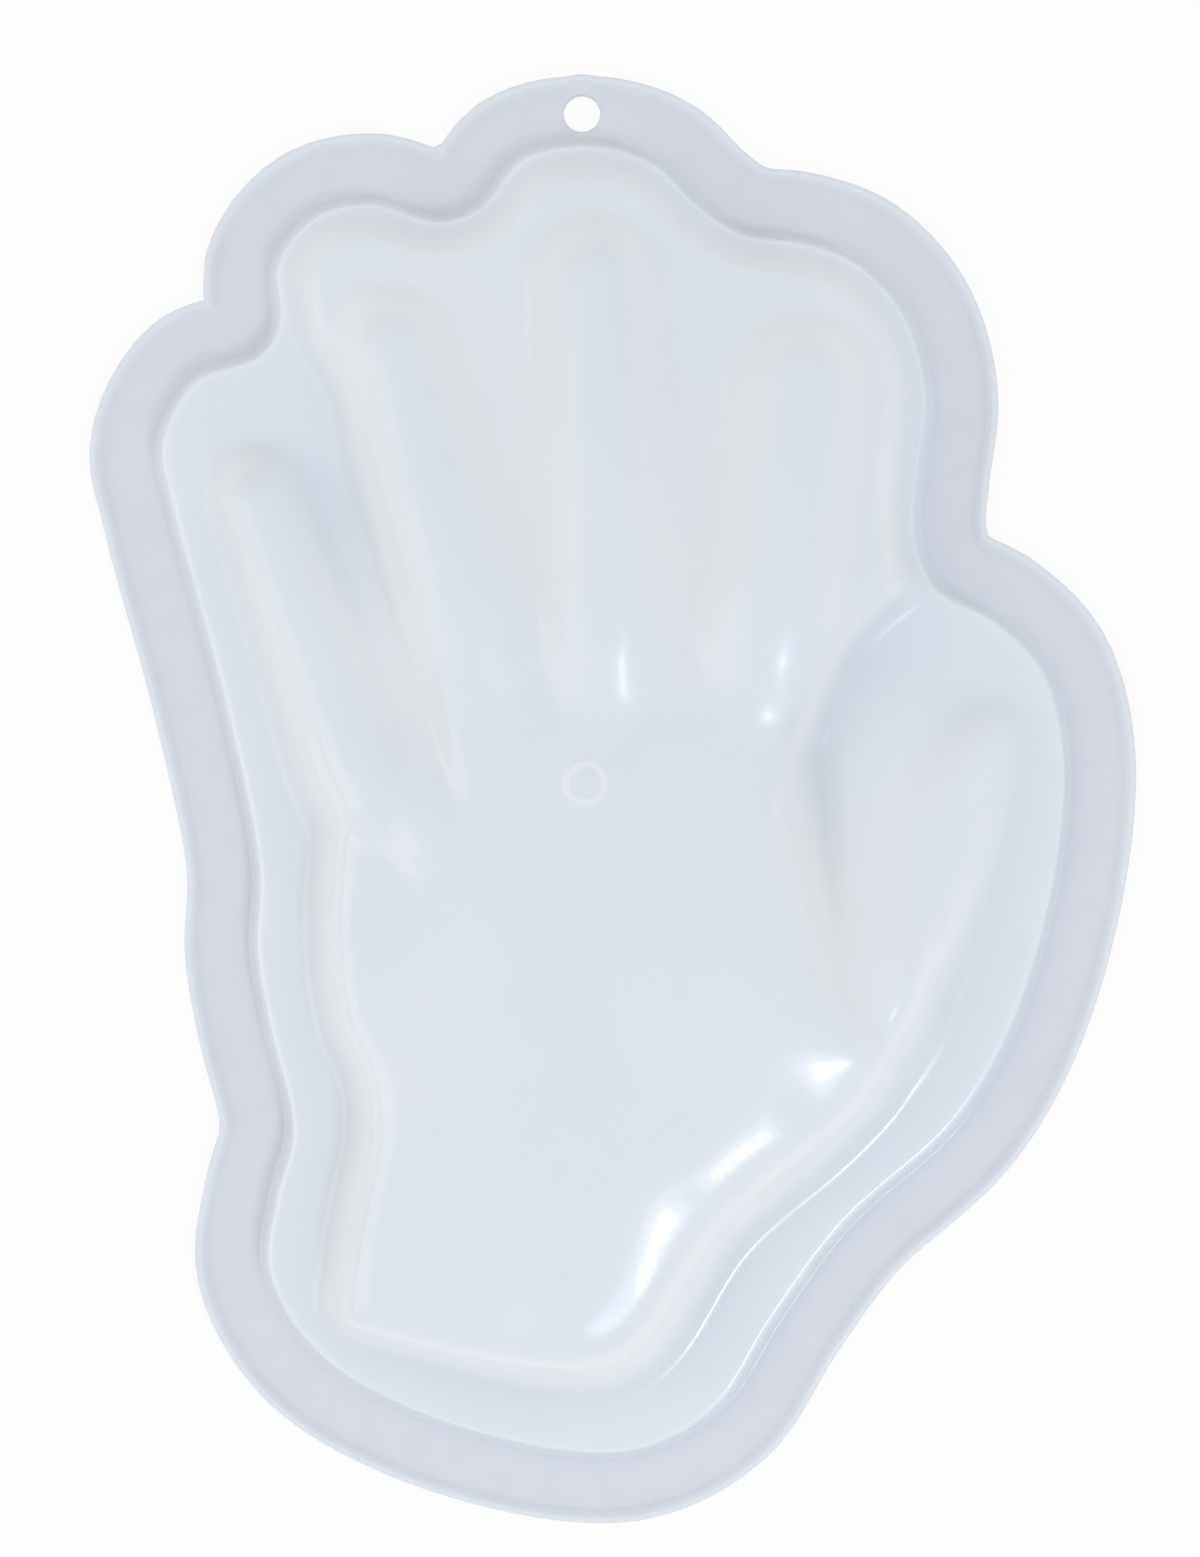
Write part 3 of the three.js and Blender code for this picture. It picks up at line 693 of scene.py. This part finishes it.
# Floor
# A plain white surface under the mould, wide enough to fill every view. It shows as white to the camera and
# in gloss, and keeps the mould's shadow.
FLOOR_SIZE = 30000
FLOOR_DROP = 0.1
FLOOR_WHITE = 0.9
PAPER_COLOUR = (0.9, 0.9, 0.9, 1)
PAPER_ROUGHNESS = 0.8

ground = bmesh.new()
bmesh.ops.create_grid(ground, x_segments=1, y_segments=1, size=FLOOR_SIZE / 2 * MM)
bmesh.ops.translate(ground, verts=ground.verts, vec=(0, 0, -FLOOR_DROP * MM))
floor_mesh = bpy.data.meshes.new("floor")
ground.to_mesh(floor_mesh)
ground.free()
floor = bpy.data.objects.new("floor", floor_mesh)
bpy.context.scene.collection.objects.link(floor)
white = bpy.data.materials.new("white_floor")
white.use_nodes = True
floor_tree = white.node_tree
paper = floor_tree.nodes["Principled BSDF"]
fill_inputs(floor_tree, paper, {"Base Color": PAPER_COLOUR, "Roughness": PAPER_ROUGHNESS})
rays = add_node(floor_tree, "ShaderNodeLightPath", {}).outputs
seen = rays["Is Camera Ray"]
for ray in ("Is Glossy Ray", "Is Transmission Ray"):
    either_ray = add_node(floor_tree, "ShaderNodeMath", {0: seen, 1: rays[ray]}, operation="MAXIMUM")
    seen = either_ray.outputs["Value"]
white_share = add_node(floor_tree, "ShaderNodeMath", {0: seen, 1: FLOOR_WHITE}, operation="MULTIPLY")
glow = add_node(floor_tree, "ShaderNodeEmission", {})
either = add_node(floor_tree, "ShaderNodeMixShader", {
    "Fac": white_share.outputs["Value"],
    1: paper.outputs["BSDF"],
    2: glow.outputs["Emission"],
})
fill_inputs(floor_tree, floor_tree.nodes["Material Output"], {"Surface": either.outputs["Shader"]})
floor_mesh.materials.append(white)

# Light
# Square soft lamps, all aimed at the mould: a key at the lower right with a smaller, brighter core in it,
# and a wide fill on the left. The room round them is an even white.
KEY_PLACE = (450, -480, 850)
LAMPS = {
    "key": dict(place=KEY_PLACE, size=400, watts=0.66, colour=(0.77, 0.86, 1)),
    "key_core": dict(place=KEY_PLACE, size=160, watts=1.1, colour=(0.8, 0.88, 1)),
    "fill": dict(place=(-800, -50, 600), size=800, watts=1.1, colour=(1, 0.99, 0.96)),
}
ROOM_COLOUR = (1, 1, 1, 1)
ROOM_LIGHT = 0.78

for name, lamp in LAMPS.items():
    light = bpy.data.lights.new(name, "AREA")
    light.size = lamp["size"] * MM
    light.energy = lamp["watts"]
    light.color = lamp["colour"]
    holder = bpy.data.objects.new(name, light)
    holder.location = np.array(lamp["place"]) * MM
    holder.rotation_euler = (-holder.location).to_track_quat("-Z", "Y").to_euler()
    bpy.context.scene.collection.objects.link(holder)
room = bpy.data.worlds.new("room")
room.use_nodes = True
background = room.node_tree.nodes["Background"]
fill_inputs(room.node_tree, background, {"Color": ROOM_COLOUR, "Strength": ROOM_LIGHT})
bpy.context.scene.world = room

# Camera
# Straight above the mould at a little over half a metre, with the fingertips up. Its place and lens follow
# from the frame of the photograph and the size of one of its pixels.
PHOTO_SIZE = (1200, 1557)
PHOTO_ORIGIN = (611, 795.5)
MM_PER_PIXEL = 0.169
CAMERA_HEIGHT = 600

camera_data = bpy.data.cameras.new("camera")
camera = bpy.data.objects.new("camera", camera_data)
view_middle = np.array([PHOTO_SIZE[0] / 2 - PHOTO_ORIGIN[0], PHOTO_ORIGIN[1] - PHOTO_SIZE[1] / 2])
camera.location = (*((view_middle * MM_PER_PIXEL + centring) * MM), CAMERA_HEIGHT * MM)
camera_data.lens = camera_data.sensor_width * CAMERA_HEIGHT / (PHOTO_SIZE[1] * MM_PER_PIXEL)
bpy.context.scene.collection.objects.link(camera)
bpy.context.scene.camera = camera
bpy.context.scene.view_settings.view_transform = "Standard"
